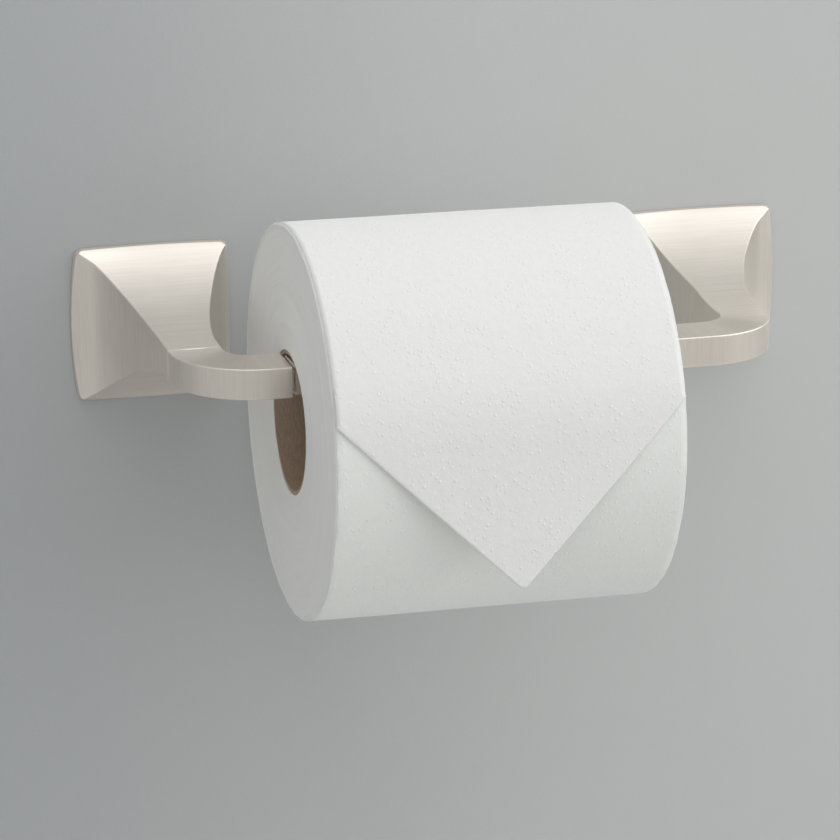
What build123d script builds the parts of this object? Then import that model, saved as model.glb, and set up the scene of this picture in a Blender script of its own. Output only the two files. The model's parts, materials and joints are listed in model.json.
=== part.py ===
from build123d import *
import os
from math import cos, radians, sin, sqrt

# Toilet paper holder: two wall posts, a left elbow that swings on its post and carries the roll bar,
# a right post cast in one with its elbow, the hidden wall fixings, and a roll of paper on the bar.
# Millimetres. +X right, +Z up, the wall is the plane Y = 0 and the object stands out towards -Y.
# The origin is the centre of the four wall fixings.

# ---- driving dimensions -------------------------------------------------------------------------
POST_SPACING = 175.6        # centre to centre of the two posts
FIXING_SPACING = 26.0       # between the upper and the lower wall screw of one post
RIM_DEPTH = 2.3             # thickness of the rim at its corners
RIM_CORNER = (23.7, 23.9)   # half width and half height of the rim's corners at the wall
RIM_BOW_OUTER = 1.7         # how far each side of the rim bows outwards at its middle
RIM_BOW_INNER = 0.7
RIM_BOW_HEIGHT = 0.3
RIM_DRAFT = 0.6             # the rim's sides lean in by this much over its depth
RIM_CORNER_R = 1.8
FLARE_HALF = (22.7, 22.9)   # half width and half height where the flare meets the rim's corners
NECK_HEIGHT = 9.3           # height of the necks and the elbows
BEVEL = (2.6, 3.7)          # flat strip on each outer flank: away from the wall, and sideways
# Each flank is a Bezier curve: distances from the wall of its two pull points and of its end, and
# its slopes (sideways travel for each millimetre from the wall) at its start and on the lip.
FLANK_HEIGHT = {"near": 10.0, "far": 25.7, "end": 52.0, "slope": 1.0, "lip": 0.90}
# Each side's neck width, how much nearer the roll it stands than the rim's centre, and its flanks.
LEFT = {
    "neck": 16.2,
    "shift": 2.4,
    "outer": {"near": 7.0, "far": 20.0, "end": 52.0, "slope": 1.15, "lip": 1.75, "bevel": BEVEL},
    "inner": {"near": 7.3, "far": 28.5, "end": 45.8, "slope": 1.1, "lip": 1.75},
}
RIGHT = {
    "neck": 14.4,
    "shift": 4.6,
    "outer": {"near": 7.0, "far": 21.0, "end": 52.0, "slope": 1.15, "lip": 1.75, "bevel": BEVEL},
    "inner": {"near": 9.3, "far": 29.1, "end": 33.9, "slope": 0.88, "lip": 1.75},
}
SEAM_Y = 53.0               # joint face between the left post and its elbow
SEAM_GAP = 0.2
ARM_Y = 72.4                # centre line of the arm from the wall
ARM_DEPTH = 16.4
LEFT_TIP_X = -62.2
RIGHT_TIP_X = 51.5
LEFT_OUTER_R = 25.0
RIGHT_OUTER_R = 24.0
LEFT_INNER_R = 8.0
RIGHT_INNER_R = 9.0
EDGE_R = 0.45               # softened long edges of the elbows and the bar

BAR_DEPTH = 14.4
BAR_HEIGHT = 8.6
BAR_EDGE_R = 1.0
BAR_REVEAL = 1.0            # shadow gap between the elbow's tip and the bar
BAR_END_X = 43.4
LAP_LENGTH = 7.4            # upper half lap of the bar over the right elbow's ledge
LEDGE_LENGTH = 7.3
LEDGE_TOP = -1.2
PAD_THICK = 1.2
PAD_GAP = 0.1               # between the pad and the bar's lap
PAD_MARGIN = 1.5            # bare ledge in front of and behind the pad
TENON_HALF = (5.2, 2.6)     # half depth and half height of the bar's tenon in the elbow
TENON_LENGTH = 9.0
TENON_SCREW_R = 1.5
TENON_POCKET = 9.5          # depth of the elbow's pocket for the tenon
SOCKET_AF_HALF = 0.85       # half size of the tenon screw's hexagon socket
CUT_GAP = 0.05              # room round screws and the tenon in their holes

ROLL_LENGTH = 103.3
ROLL_LEFT_X = -61.9
ROLL_R = 58.4
CORE_OUTER_R = 21.4
CORE_INNER_R = 20.2
CORE_GAP = 0.3              # the core hangs this much above the bar's upper edges
LEAF_THICK = 0.8
LEAF_X = (-61.0, 40.6)      # the loose leaf's sides
LEAF_TOP_Z = 42.0           # where the loose leaf leaves the roll's outermost turn
LEAF_HANG_DEG = 7.0         # it lies on the roll down to this angle above the front, then hangs straight
LEAF_CORNER_Z = 0.6         # the two fold corners, at the leaf's sides
LEAF_TIP = (-8.8, -49.4)    # X and Z of the folded point
OVER = 1.0                  # how far a cut runs past the face it opens

# ---- derived places -----------------------------------------------------------------------------
POST_X = POST_SPACING / 2
FIXING_HEIGHTS = (-FIXING_SPACING / 2, FIXING_SPACING / 2)
NECK_X = POST_X - LEFT["shift"]
ARM_HALF_H = NECK_HEIGHT / 2
ARM_FRONT = ARM_Y + ARM_DEPTH / 2
ARM_BACK = ARM_Y - ARM_DEPTH / 2
BAR_TOP = BAR_HEIGHT / 2
BAR_START_X = LEFT_TIP_X + BAR_REVEAL
TENON_SCREW_X = LEFT_TIP_X - TENON_LENGTH / 2
ROLL_Z = BAR_TOP + CORE_GAP - sqrt(CORE_INNER_R**2 - (BAR_DEPTH / 2) ** 2)
ROLL_MID_X = ROLL_LEFT_X + ROLL_LENGTH / 2

# Pivot in the left neck.
PIVOT_R = 3.0
PIVOT_CLEARANCE = 0.06
BUSH_R = 4.2
BUSH_BACK = 24.0            # the bush and the wave washer end here, inside the flare
SPRING_BORE_R = 6.4
PIVOT_THREAD_R = 2.5
PIVOT_THREAD_END = 62.0
WASHER_THICK = 1.4
WASHER_R = 6.1
WASHER_HOLE_R = 3.4
WASHER_GAP = 0.1
WASHER_DISH = 0.5
HEAD_R = 5.2
HEAD_THICK = 3.0
HEAD_SOCKET_R = 2.3
HEAD_SOCKET_DEPTH = 2.0

# Pocket in the back of each post, and the bracket in it.
POCKET_HALF = (17.0, 18.4)
POCKET_DEPTH = 4.8
WELL_X = (-9.5, 12.5)       # deeper part of the pocket, from the post's centre, + towards the roll
WELL_HALF_H = 11.0
WELL_DEPTH = 14.0
PLATE_HALF = (15.5, 17.4)
PLATE_THICK = 1.6
PLATE_CORNER_R = 3.0
BOSS_HALF = (8.0, 8.0)
BOSS_DEPTH = 11.0
BOSS_WALL = 3.0
BOSS_FRONT = 2.0
BOSS_CHAMFER = 0.8
SET_Y = 8.5
SET_R = 1.95
SET_BOTTOM = -16.4
SET_TOP = -7.1
SET_POINT = 0.7
SET_SOCKET_R = 1.15
SET_SOCKET_DEPTH = 2.2
SET_HOLE_GAP = 0.25

SCREW_R = 2.0
SCREW_HOLE_GAP = 0.35
SCREW_HEAD_R = 4.0
SCREW_HEAD_THICK = 2.4
SCREW_HEAD_ROUND = 1.3
CROSS_SLOT = (4.6, 1.0, 1.3)    # length, width and depth of each slot of the cross recess
ANCHOR_R = 3.0
ANCHOR_LENGTH = 28.0
ANCHOR_TIP = 0.6


def save(name, *solids):
    """Write one node: a single solid, or a group of separate ones."""
    shape = solids[0] if len(solids) == 1 else Compound(children=list(solids))
    export_step(shape, f"parts/{name}.step")


def box(x0, x1, y0, y1, z0, z1):
    """A box between six planes."""
    size = (x1 - x0, y1 - y0, z1 - z0)
    return Pos((x0 + x1) / 2, (y0 + y1) / 2, (z0 + z1) / 2) * Box(*size)


def rod_y(x, z, radius, y0, y1):
    """A cylinder along Y."""
    return Pos(x, (y0 + y1) / 2, z) * Rot(90, 0, 0) * Cylinder(radius, y1 - y0)


def rod_z(x, y, radius, z0, z1):
    """A cylinder along Z."""
    return Pos(x, y, (z0 + z1) / 2) * Cylinder(radius, z1 - z0)


def rod_x(y, z, radius, x0, x1):
    """A cylinder along X."""
    return Pos((x0 + x1) / 2, y, z) * Rot(0, 90, 0) * Cylinder(radius, x1 - x0)


def bar_box(x0, x1, z0, z1):
    """A box as deep as the roll bar, on the arm's centre line."""
    return box(x0, x1, -ARM_Y - BAR_DEPTH / 2, -ARM_Y + BAR_DEPTH / 2, z0, z1)


def rim_outline(y, inset):
    """Square with bowed sides and rounded corners, in the plane at this Y, with the roll towards +X."""
    w, h = RIM_CORNER[0] - inset, RIM_CORNER[1] - inset
    corners = [(w, h), (-w, h), (-w, -h), (w, -h)]
    top, bottom = (0, h + RIM_BOW_HEIGHT), (0, -h - RIM_BOW_HEIGHT)
    mids = [top, (-w - RIM_BOW_OUTER, 0), bottom, (w + RIM_BOW_INNER, 0)]
    arcs = [ThreePointArc(corners[i], mids[i], corners[(i + 1) % 4]) for i in range(4)]
    face = make_face(Curve() + arcs)
    face = fillet(face.vertices(), RIM_CORNER_R - inset)
    return Plane(origin=(0, y, 0), x_dir=(1, 0, 0), z_dir=(0, -1, 0)) * face


def flank(rim_half, neck_half, shape):
    """One flank, as points (distance from the wall, half size): its straight start and its curve."""
    straight = [(0, rim_half + shape["lip"] * RIM_DEPTH), (RIM_DEPTH, rim_half)]
    if "bevel" in shape:
        straight.append((RIM_DEPTH + shape["bevel"][0], rim_half - shape["bevel"][1]))
    leave = straight[-1]
    near = (shape["near"], leave[1] - shape["slope"] * (shape["near"] - leave[0]))
    return straight, [leave, near, (shape["far"], neck_half), (shape["end"], neck_half)]


def profile(upper, lower, front_y):
    """Closed outline between two flanks that run from the wall (first coordinate 0) to front_y."""
    straight_u, curve_u = upper
    straight_l, curve_l = lower
    end_u, end_l = curve_u[-1], curve_l[-1]
    edges = [
        Polyline(*straight_u),
        Bezier(*curve_u),
        Polyline(end_u, (front_y, end_u[1]), (front_y, end_l[1]), end_l),
        Bezier(*reversed(curve_l)),
        Polyline(*reversed(straight_l), straight_u[0]),
    ]
    return make_face(Curve() + edges)


def mirrored(parts):
    """The same flank on the other side of the axis."""
    return [[(y, -half) for y, half in points] for points in parts]


def flare_body(front_y, side):
    """Neck and flare of a post: a plan profile and a side profile, crossed. The roll is towards +X."""
    width, height = FLARE_HALF
    outer = flank(width, side["neck"] / 2 - side["shift"], side["outer"])
    inner = flank(width, side["neck"] / 2 + side["shift"], side["inner"])
    top = flank(height, ARM_HALF_H, FLANK_HEIGHT)
    reach = 2 * max(FLARE_HALF)
    plan_plane = Plane(origin=(0, 0, -reach), x_dir=(0, -1, 0), z_dir=(0, 0, 1))
    side_plane = Plane(origin=(reach, 0, 0), x_dir=(0, -1, 0), z_dir=(-1, 0, 0))
    plan = extrude(plan_plane * profile(inner, mirrored(outer), front_y), 2 * reach)
    side = extrude(side_plane * profile(top, mirrored(top), front_y), 2 * reach)
    return plan & side


def post_body(front_y, side):
    """Rim, flare and neck with the bracket's pocket, centred on the rim, roll towards +X."""
    rim = loft([rim_outline(0, 0), rim_outline(-RIM_DEPTH, RIM_DRAFT)])
    reach = 2 * max(FLARE_HALF)
    flare = flare_body(front_y, side)
    body = (flare & rim) + (flare & box(-reach, reach, -front_y - OVER, -RIM_DEPTH, -reach, reach))
    body -= box(-POCKET_HALF[0], POCKET_HALF[0], -POCKET_DEPTH, 0, -POCKET_HALF[1], POCKET_HALF[1])
    body -= box(WELL_X[0], WELL_X[1], -WELL_DEPTH, 0, -WELL_HALF_H, WELL_HALF_H)
    body -= rod_z(0, -SET_Y, SET_R + CUT_GAP, -FLARE_HALF[1], -WELL_HALF_H + OVER)
    return body


def elbow(start_y, tip_x, outer_r, inner_r, side):
    """Flat-sided bend from the neck to the arm's tip, with the roll towards +X."""
    x_out = -POST_X + side["shift"] - side["neck"] / 2
    x_in = x_out + side["neck"]
    diagonal = sqrt(0.5)
    outer_c = (x_out + outer_r, -ARM_FRONT + outer_r)
    inner_c = (x_in + inner_r, -ARM_BACK + inner_r)
    outline = [
        Line((x_out, -start_y), (x_out, outer_c[1])),
        ThreePointArc(
            (x_out, outer_c[1]),
            (outer_c[0] - outer_r * diagonal, outer_c[1] - outer_r * diagonal),
            (outer_c[0], -ARM_FRONT),
        ),
        Polyline((outer_c[0], -ARM_FRONT), (tip_x, -ARM_FRONT), (tip_x, -ARM_BACK), (inner_c[0], -ARM_BACK)),
        ThreePointArc(
            (inner_c[0], -ARM_BACK),
            (inner_c[0] - inner_r * diagonal, inner_c[1] - inner_r * diagonal),
            (x_in, inner_c[1]),
        ),
        Polyline((x_in, inner_c[1]), (x_in, -start_y), (x_out, -start_y)),
    ]
    solid = extrude(make_face(Curve() + outline), NECK_HEIGHT, dir=(0, 0, 1))
    return Pos(0, 0, -ARM_HALF_H) * solid


def soften(solid):
    """Round the long edges of an elbow's top and bottom, but not those of its joint face."""
    faces = solid.faces().sort_by(Axis.Z)
    joint = faces[0].edges().sort_by(Axis.Y)[-1], faces[-1].edges().sort_by(Axis.Y)[-1]
    edges = faces[-1].edges() + faces[0].edges()
    return fillet([e for e in edges if not any(e.is_same(j) for j in joint)], EDGE_R)


def left_post():
    """Post bored for the pivot's bush, and wider behind it for the bolt's head."""
    body = Pos(-POST_X, 0, 0) * post_body(SEAM_Y, LEFT)
    body -= rod_y(-NECK_X, 0, BUSH_R, -SEAM_Y - OVER, -BUSH_BACK + OVER)
    body -= rod_y(-NECK_X, 0, SPRING_BORE_R, -BUSH_BACK, -WELL_DEPTH + OVER)
    return body


def right_post():
    """Post, elbow and the ledge on which the bar's free end rests, in one casting."""
    body = mirror(post_body(SEAM_Y, RIGHT), about=Plane.YZ)
    body = Pos(POST_X, 0, 0) * body
    bend = elbow(SEAM_Y, -RIGHT_TIP_X, RIGHT_OUTER_R, RIGHT_INNER_R, RIGHT)
    bend = mirror(soften(bend), about=Plane.YZ)
    ledge = bar_box(RIGHT_TIP_X - LEDGE_LENGTH, RIGHT_TIP_X + OVER, -BAR_TOP, LEDGE_TOP)
    return body + bend + ledge


def left_elbow():
    """Elbow that swings on the left post, with a thread for the bolt and a pocket for the bar."""
    bend = elbow(SEAM_Y + SEAM_GAP, LEFT_TIP_X, LEFT_OUTER_R, LEFT_INNER_R, LEFT)
    bend = soften(bend)
    bend -= rod_y(-NECK_X, 0, PIVOT_THREAD_R + CUT_GAP, -PIVOT_THREAD_END - 10 * CUT_GAP, -SEAM_Y)
    bend -= tenon(CUT_GAP, TENON_POCKET)
    bend -= rod_z(TENON_SCREW_X, -ARM_Y, TENON_SCREW_R + CUT_GAP, -ARM_HALF_H - OVER, 0)
    return bend


def tenon(grow, length):
    """The block by which the bar stands in the elbow's tip, across the shadow gap."""
    half_y, half_z = TENON_HALF[0] + grow, TENON_HALF[1] + grow
    return box(LEFT_TIP_X - length, BAR_START_X + OVER, -ARM_Y - half_y, -ARM_Y + half_y, -half_z, half_z)


def tenon_screw():
    """Grub screw from below that locks the bar's tenon."""
    bottom = -ARM_HALF_H + EDGE_R
    body = rod_z(TENON_SCREW_X, -ARM_Y, TENON_SCREW_R, bottom, -TENON_HALF[1])
    socket = Plane(origin=(TENON_SCREW_X, -ARM_Y, bottom)) * RegularPolygon(SOCKET_AF_HALF, 6)
    return body - extrude(socket, SOCKET_AF_HALF)


def rest_pad():
    """Soft pad on the ledge, under the bar's free end."""
    half = BAR_DEPTH / 2 - PAD_MARGIN
    x0, x1 = RIGHT_TIP_X - LEDGE_LENGTH + PAD_MARGIN / 2, RIGHT_TIP_X - PAD_MARGIN / 2
    pad = box(x0, x1, -ARM_Y - half, -ARM_Y + half, LEDGE_TOP, LEDGE_TOP + PAD_THICK)
    return fillet(pad.edges().filter_by(Axis.Z), PAD_MARGIN)


def roll_bar():
    """Flat bar with a tenon at the left and an upper half lap at the right, over the ledge."""
    bar = bar_box(BAR_START_X, BAR_END_X, -BAR_TOP, BAR_TOP)
    bar = fillet(bar.edges().filter_by(Axis.X), BAR_EDGE_R)
    lap = bar_box(BAR_END_X - OVER, BAR_END_X + LAP_LENGTH, LEDGE_TOP + PAD_THICK + PAD_GAP, BAR_TOP)
    lap = fillet(lap.edges().filter_by(Axis.X).sort_by(Axis.Z)[-2:], BAR_EDGE_R)
    return bar + lap + tenon(0, TENON_LENGTH)


def pivot_bolt():
    """Shoulder bolt: head inside the flare, shoulder in the bush, thread in the elbow."""
    head_back = -BUSH_BACK + WASHER_THICK + WASHER_GAP
    head = rod_y(-NECK_X, 0, HEAD_R, head_back, head_back + HEAD_THICK)
    end = Plane(origin=(-NECK_X, head_back + HEAD_THICK, 0), z_dir=(0, -1, 0))
    head -= extrude(end * RegularPolygon(HEAD_SOCKET_R, 6), HEAD_SOCKET_DEPTH)
    shoulder = rod_y(-NECK_X, 0, PIVOT_R, -SEAM_Y - SEAM_GAP, head_back)
    thread = rod_y(-NECK_X, 0, PIVOT_THREAD_R, -PIVOT_THREAD_END, -SEAM_Y)
    return head + shoulder + thread


def pivot_bush():
    """Plain bearing in the left neck, round the bolt's shoulder."""
    outer = rod_y(-NECK_X, 0, BUSH_R, -SEAM_Y, -BUSH_BACK)
    return outer - rod_y(-NECK_X, 0, PIVOT_R + PIVOT_CLEARANCE, -SEAM_Y - OVER, -BUSH_BACK + OVER)


def wave_washer():
    """Spring washer that holds the elbow's swing steady, dished between bush and bolt head."""
    ring = rod_y(-NECK_X, 0, WASHER_R, -BUSH_BACK, -BUSH_BACK + WASHER_THICK)
    dish = Rot(90, 0, 0) * Cone(WASHER_R - WASHER_DISH, WASHER_HOLE_R + WASHER_THICK, WASHER_DISH)
    hole = rod_y(-NECK_X, 0, WASHER_HOLE_R, -BUSH_BACK - OVER, -BUSH_BACK + WASHER_THICK + OVER)
    return ring - hole - Pos(-NECK_X, -BUSH_BACK + WASHER_DISH / 2, 0) * dish


def bracket(x):
    """Stamped plate on the wall with the boss that the post's set screw pulls down on."""
    plate = box(-PLATE_HALF[0], PLATE_HALF[0], -PLATE_THICK, 0, -PLATE_HALF[1], PLATE_HALF[1])
    plate = fillet(plate.edges().filter_by(Axis.Y), PLATE_CORNER_R)
    boss = box(-BOSS_HALF[0], BOSS_HALF[0], -BOSS_DEPTH, 0, -BOSS_HALF[1], BOSS_HALF[1])
    boss = chamfer(boss.faces().sort_by(Axis.Y)[0].edges(), BOSS_CHAMFER)
    inside = BOSS_HALF[0] - BOSS_WALL
    body = plate + boss - box(-inside, inside, -BOSS_DEPTH + BOSS_FRONT, OVER, -inside, inside)
    for z in FIXING_HEIGHTS:
        body -= rod_y(0, z, SCREW_R + SCREW_HOLE_GAP, -PLATE_THICK - OVER, OVER)
    body -= rod_z(0, -SET_Y, SET_R + SET_HOLE_GAP, -BOSS_HALF[1] - OVER, SET_TOP + SET_HOLE_GAP)
    return Pos(x, 0, 0) * body


def set_screw(x):
    """Pointed grub screw from below that pulls the post down on the bracket's boss."""
    body = rod_z(x, -SET_Y, SET_R, SET_BOTTOM, SET_TOP)
    body = chamfer(body.faces().sort_by(Axis.Z)[-1].edges(), SET_POINT)
    socket = Plane(origin=(x, -SET_Y, SET_BOTTOM), z_dir=(0, 0, 1)) * RegularPolygon(SET_SOCKET_R, 6)
    return body - extrude(socket, SET_SOCKET_DEPTH)


def wall_screw(x, z):
    """Pan-head screw through the bracket, down to the wall: the rest of it is one with its anchor."""
    front = -PLATE_THICK - SCREW_HEAD_THICK
    head = rod_y(x, z, SCREW_HEAD_R, front, -PLATE_THICK)
    head = fillet(head.faces().sort_by(Axis.Y)[0].edges(), SCREW_HEAD_ROUND)
    long, wide, deep = CROSS_SLOT
    for width, height in ((long, wide), (wide, long)):
        head -= box(x - width / 2, x + width / 2, front - OVER, front + deep, z - height / 2, z + height / 2)
    return head + rod_y(x, z, SCREW_R, -PLATE_THICK - deep / 2, 0)


def wall_anchor(x, z):
    """Wall plug with the screw's thread bitten into it, drawn as one solid."""
    body = rod_y(x, z, ANCHOR_R, 0, ANCHOR_LENGTH)
    return chamfer(body.faces().sort_by(Axis.Y)[-1].edges(), ANCHOR_TIP)


def roll_tube(outer_r, inner_r):
    """A tube round the roll's axis, as long as the roll."""
    right = ROLL_LEFT_X + ROLL_LENGTH
    tube = rod_x(-ARM_Y, ROLL_Z, outer_r, ROLL_LEFT_X, right)
    return tube - rod_x(-ARM_Y, ROLL_Z, inner_r, ROLL_LEFT_X - OVER, right + OVER)


def paper_leaf():
    """Loose end of the paper, folded to a point: it lies on the roll's front, then hangs off it."""
    length = LEAF_X[1] - LEAF_X[0]
    sheet = Pos(sum(LEAF_X) / 2, -ARM_Y, ROLL_Z) * Rot(0, 90, 0)
    tube = sheet * (Cylinder(ROLL_R + LEAF_THICK, length) - Cylinder(ROLL_R, length + OVER))
    hang = radians(LEAF_HANG_DEG)
    leave = (-ARM_Y - ROLL_R * cos(hang), ROLL_Z + ROLL_R * sin(hang))
    reach = (leave[1] - LEAF_TIP[1]) / cos(hang) + OVER
    plate = Pos(sum(LEAF_X) / 2, *leave) * Rot(-LEAF_HANG_DEG, 0, 0)
    plate *= Pos(0, -LEAF_THICK / 2, -reach / 2) * Box(length, LEAF_THICK, reach)
    above = box(LEAF_X[0], LEAF_X[1], -2 * ARM_Y, -ARM_Y, leave[1], LEAF_TOP_Z)
    x0, x1 = LEAF_X
    pentagon = [(x0, LEAF_TOP_Z), (x1, LEAF_TOP_Z), (x1, LEAF_CORNER_Z), LEAF_TIP, (x0, LEAF_CORNER_Z)]
    axis_plane = Plane(origin=(0, -ARM_Y, 0), x_dir=(1, 0, 0), z_dir=(0, -1, 0))
    front = extrude(axis_plane * make_face(Polyline(*pentagon, close=True)), 2 * ROLL_R)
    return ((tube & above) + plate) & front


os.makedirs("parts", exist_ok=True)

save("left_post", left_post())
save("right_post", right_post())
save("left_elbow", left_elbow())
save("pivot_bolt", pivot_bolt())
save("pivot_bush", pivot_bush())
save("wave_washer", wave_washer())
save("roll_bar", roll_bar())
save("tenon_screw", tenon_screw())
save("rest_pad", rest_pad())
for side, post_x in (("left", -POST_X), ("right", POST_X)):
    save(f"{side}_bracket", bracket(post_x))
    save(f"{side}_set_screw", set_screw(post_x))
    save(f"{side}_wall_screws", *[wall_screw(post_x, z) for z in FIXING_HEIGHTS])
    save(f"{side}_wall_anchors", *[wall_anchor(post_x, z) for z in FIXING_HEIGHTS])
save("cardboard_core", roll_tube(CORE_OUTER_R, CORE_INNER_R))
save("paper_roll", roll_tube(ROLL_R, CORE_OUTER_R))
save("paper_leaf", paper_leaf())
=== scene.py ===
"""Looks of a wall-mounted toilet paper holder with its roll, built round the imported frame."""

import json
import logging
import math
from dataclasses import dataclass, field
from enum import Enum
from typing import Iterable, Sequence

import bpy
from mathutils import Matrix, Vector, noise


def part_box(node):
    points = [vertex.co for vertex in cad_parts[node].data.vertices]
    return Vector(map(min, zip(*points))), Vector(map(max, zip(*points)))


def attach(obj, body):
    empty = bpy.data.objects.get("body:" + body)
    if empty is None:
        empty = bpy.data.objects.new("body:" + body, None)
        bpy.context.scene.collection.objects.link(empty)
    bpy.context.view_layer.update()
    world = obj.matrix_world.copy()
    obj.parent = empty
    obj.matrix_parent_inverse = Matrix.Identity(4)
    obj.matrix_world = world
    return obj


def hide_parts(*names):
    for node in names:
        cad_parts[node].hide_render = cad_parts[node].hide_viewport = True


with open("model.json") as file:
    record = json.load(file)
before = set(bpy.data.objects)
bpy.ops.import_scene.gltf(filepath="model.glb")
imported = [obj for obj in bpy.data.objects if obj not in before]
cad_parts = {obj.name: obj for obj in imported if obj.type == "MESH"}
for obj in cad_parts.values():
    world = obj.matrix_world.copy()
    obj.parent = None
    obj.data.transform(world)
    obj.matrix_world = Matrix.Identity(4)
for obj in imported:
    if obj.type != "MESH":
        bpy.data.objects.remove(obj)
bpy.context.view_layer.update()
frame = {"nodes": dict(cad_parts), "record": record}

MM = 0.001
LOG = logging.getLogger("paper_holder")
Point = tuple[float, float]


# ---- mesh tools ---------------------------------------------------------------------------------


def smoothstep(low: float, high: float, value: float) -> float:
    """Blend from 0 at low to 1 at high with level ends."""
    t = min(max((value - low) / (high - low), 0.0), 1.0)
    return t * t * (3.0 - 2.0 * t)


def mix(a: float, b: float, t: float) -> float:
    """Straight blend from a to b."""
    return a + (b - a) * t


def bezier(points: Sequence[Point], t: float) -> Point:
    """Point of a cubic Bezier curve.

    Args:
        points: the four control points.
        t: the parameter, from 0 to 1.

    Returns:
        The point at t.
    """
    s = 1.0 - t
    weights = (s**3, 3 * s * s * t, 3 * s * t * t, t**3)
    return (sum(w * p[0] for w, p in zip(weights, points)), sum(w * p[1] for w, p in zip(weights, points)))


class RingMesh:
    """A mesh skinned over closed rings that all have the same number of points."""

    def __init__(self, name: str) -> None:
        """Start an empty skin under this name."""
        self.name = name
        self.rings: list[list[Vector]] = []
        self.lengths: list[float] = []

    def add(self, ring: Sequence[Vector], step: float | None = None) -> None:
        """Append one ring.

        Args:
            ring: the ring's points, in millimetres.
            step: how far the ring lies along the surface from the last one; measured if left out.
        """
        if not self.rings:
            self.lengths.append(0.0)
        else:
            gap = step if step is not None else max((a - b).length for a, b in zip(ring, self.rings[-1]))
            self.lengths.append(self.lengths[-1] + gap)
        self.rings.append(list(ring))

    def build(self, closed: bool = False, sharp_deg: float = 38.0, flip: bool = False) -> bpy.types.Object:
        """Make the object.

        Args:
            closed: True where the last ring joins the first, False where both ends get a cap.
            sharp_deg: edges turning by more than this stay crisp.
            flip: True where the rings run the other way round.

        Returns:
            The new object, with a point attribute "brush" that holds path length and girth.
        """
        count = len(self.rings[0])
        verts = [p * MM for ring in self.rings for p in ring]
        faces: list[tuple[int, ...]] = []
        last = len(self.rings) if closed else len(self.rings) - 1
        for r in range(last):
            base, after = r * count, (r + 1) % len(self.rings) * count
            for i in range(count):
                j = (i + 1) % count
                faces.append((base + i, base + j, after + j, after + i))
        if not closed:
            faces.append(tuple(reversed(range(count))))
            end = (len(self.rings) - 1) * count
            faces.append(tuple(range(end, end + count)))
        if flip:
            faces = [tuple(reversed(f)) for f in faces]
        brush = []
        for ring, along in zip(self.rings, self.lengths):
            girth = 0.0
            for i in range(count):
                brush.append((along * MM, girth * MM, 0.0))
                girth += (ring[(i + 1) % count] - ring[i]).length
        obj = make_object(self.name, verts, faces, brush, sharp_deg)
        course = obj.data.attributes.new("course", "FLOAT_VECTOR", "POINT")
        for r in range(len(self.rings)):
            before, after = self.rings[max(r - 1, 0)], self.rings[min(r + 1, len(self.rings) - 1)]
            for i in range(count):
                course.data[r * count + i].vector = (after[i] - before[i]).normalized()
        return obj


def make_object(
    name: str,
    verts: Sequence[Vector],
    faces: Sequence[Sequence[int]],
    brush: Sequence[tuple[float, float, float]] | None = None,
    sharp_deg: float = 38.0,
) -> bpy.types.Object:
    """Turn points and faces into a smooth-shaded object.

    Args:
        name: the object's name.
        verts: points in metres.
        faces: loops of point numbers.
        brush: surface coordinates of each point in metres, stored as the attribute "brush".
        sharp_deg: edges turning by more than this stay crisp.

    Returns:
        The linked object.
    """
    mesh = bpy.data.meshes.new(name)
    mesh.from_pydata([tuple(v) for v in verts], [], faces)
    mesh.validate()
    if brush is not None:
        layer = mesh.attributes.new("brush", "FLOAT_VECTOR", "POINT")
        for item, value in zip(layer.data, brush):
            item.vector = value
    mesh.shade_smooth()
    mesh.set_sharp_from_angle(angle=math.radians(sharp_deg))
    obj = bpy.data.objects.new(name, mesh)
    bpy.context.scene.collection.objects.link(obj)
    return obj


def rounded_ring(
    x0: float, x1: float, z0: float, z1: float, radius: float, arc: int = 4, side: int = 15
) -> list[Point]:
    """Points round a rectangle with rounded corners, always in the same order and number.

    Args:
        x0, x1: the sides, in the ring's own across direction.
        z0, z1: the bottom and the top.
        radius: corner radius.
        arc: steps in each corner.
        side: points inside each straight side.

    Returns:
        The points, turning from the right side over the top to the left.
    """
    corners = [(x1 - radius, z1 - radius, 0), (x0 + radius, z1 - radius, 90)]
    corners += [(x0 + radius, z0 + radius, 180), (x1 - radius, z0 + radius, 270)]
    points: list[Point] = []
    for index, (cx, cz, start) in enumerate(corners):
        for k in range(arc + 1):
            angle = math.radians(start + 90 * k / arc)
            points.append((cx + radius * math.cos(angle), cz + radius * math.sin(angle)))
        nx, nz, turn = corners[(index + 1) % 4]
        angle = math.radians(turn)
        goal = (nx + radius * math.cos(angle), nz + radius * math.sin(angle))
        here = points[-1]
        for k in range(side):
            t = 0.5 - 0.5 * math.cos(math.pi * (k + 1) / (side + 1))
            points.append((mix(here[0], goal[0], t), mix(here[1], goal[1], t)))
    return points


# ---- materials ----------------------------------------------------------------------------------


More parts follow.
